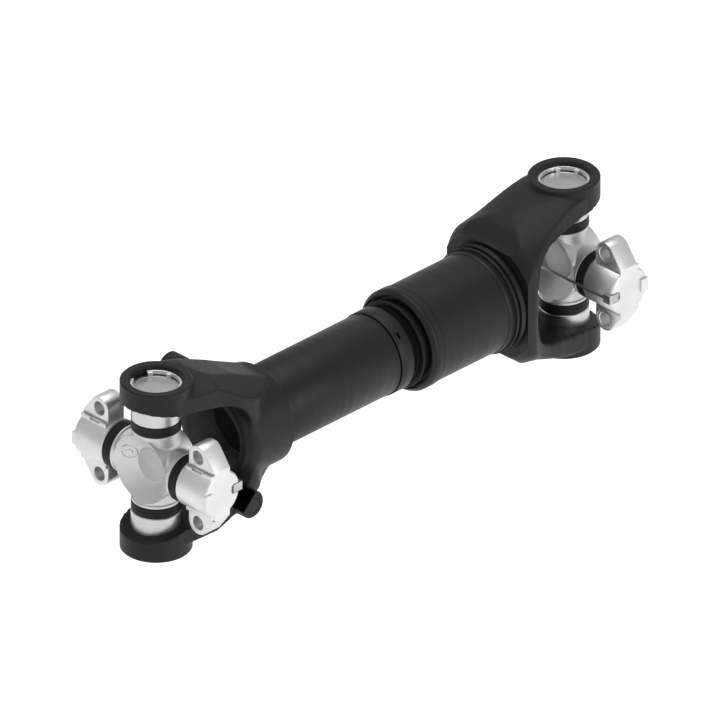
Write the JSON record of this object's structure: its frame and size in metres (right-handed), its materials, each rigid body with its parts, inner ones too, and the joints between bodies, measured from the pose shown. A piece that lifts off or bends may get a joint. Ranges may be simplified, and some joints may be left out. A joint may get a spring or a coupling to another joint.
{
  "type": "universal joint shaft",
  "caption": "Telescoping driveline shaft with a cross joint at each end: forked yokes, needle-bearing crosses and winged bearings that bolt to the flanges of the neighbouring machines.",
  "frame": {"origin": "middle of the shaft, on its axis, halfway between the two joint centres", "axes": "+X along the shaft from the tube end (left joint) to the sleeve end (right joint); +Z along the fork bearings' axis, upwards; +Y along the wing bearings' axis, to the far side"},
  "size_m": [0.699, 0.204, 0.207],
  "materials": {
    "forged_paint": "satin",
    "tube_paint": "satin",
    "stub_steel": "satin",
    "seal_rubber": "matte",
    "cross_steel": "satin",
    "cup_steel": "ground",
    "wing_steel": "satin",
    "needle_steel": "polished",
    "washer_bronze": "satin",
    "spring_steel": "satin"
  },
  "bodies": {
    "drive_shaft": {"drive_fork": "forged_paint", "shaft_tube": "tube_paint", "tube_weld": "tube_paint", "throat_plug": "tube_paint", "slip_stub": "stub_steel", "stub_collar": "tube_paint", "left_upper_cup": "cup_steel", "left_upper_ring": "spring_steel", "left_upper_seal": "seal_rubber", "left_upper_needles": "needle_steel", "left_upper_washer": "washer_bronze", "left_lower_cup": "cup_steel", "left_lower_ring": "spring_steel", "left_lower_seal": "seal_rubber", "left_lower_needles": "needle_steel", "left_lower_washer": "washer_bronze"},
    "sleeve_shaft": {"sleeve_fork": "forged_paint", "slip_sleeve": "tube_paint", "sleeve_weld": "tube_paint", "sleeve_plug": "tube_paint", "mouth_seal": "seal_rubber", "dust_cap": "tube_paint", "right_upper_cup": "cup_steel", "right_upper_ring": "spring_steel", "right_upper_seal": "seal_rubber", "right_upper_needles": "needle_steel", "right_upper_washer": "washer_bronze", "right_lower_cup": "cup_steel", "right_lower_ring": "spring_steel", "right_lower_seal": "seal_rubber", "right_lower_needles": "needle_steel", "right_lower_washer": "washer_bronze"},
    "left_spider": {"left_cross": "cross_steel"},
    "right_spider": {"right_cross": "cross_steel"},
    "left_wings": {"left_near_wing": "wing_steel", "left_near_seal": "seal_rubber", "left_near_needles": "needle_steel", "left_near_washer": "washer_bronze", "left_far_wing": "wing_steel", "left_far_seal": "seal_rubber", "left_far_needles": "needle_steel", "left_far_washer": "washer_bronze", "left_strap": "spring_steel"},
    "right_wings": {"right_near_wing": "wing_steel", "right_near_seal": "seal_rubber", "right_near_needles": "needle_steel", "right_near_washer": "washer_bronze", "right_far_wing": "wing_steel", "right_far_seal": "seal_rubber", "right_far_needles": "needle_steel", "right_far_washer": "washer_bronze", "right_strap": "spring_steel"}
  },
  "joints": [
    {"name": "slip", "type": "slide", "parent": "drive_shaft", "child": "sleeve_shaft", "axis": [1, 0, 0], "range_m": [-0.011, 0.055]},
    {"name": "left_cross_swing", "type": "hinge", "parent": "drive_shaft", "child": "left_spider", "pos_m": [-0.31, 0, 0], "axis": [0, 0, 1], "range_deg": [-18, 18]},
    {"name": "left_wing_tilt", "type": "hinge", "parent": "left_spider", "child": "left_wings", "pos_m": [-0.31, 0, 0], "axis": [0, 1, 0], "range_deg": [-18, 18]},
    {"name": "right_cross_swing", "type": "hinge", "parent": "sleeve_shaft", "child": "right_spider", "pos_m": [0.31, 0, 0], "axis": [0, 0, 1], "range_deg": [-18, 18]},
    {"name": "right_wing_tilt", "type": "hinge", "parent": "right_spider", "child": "right_wings", "pos_m": [0.31, 0, 0], "axis": [0, 1, 0], "range_deg": [-18, 18]}
  ]
}
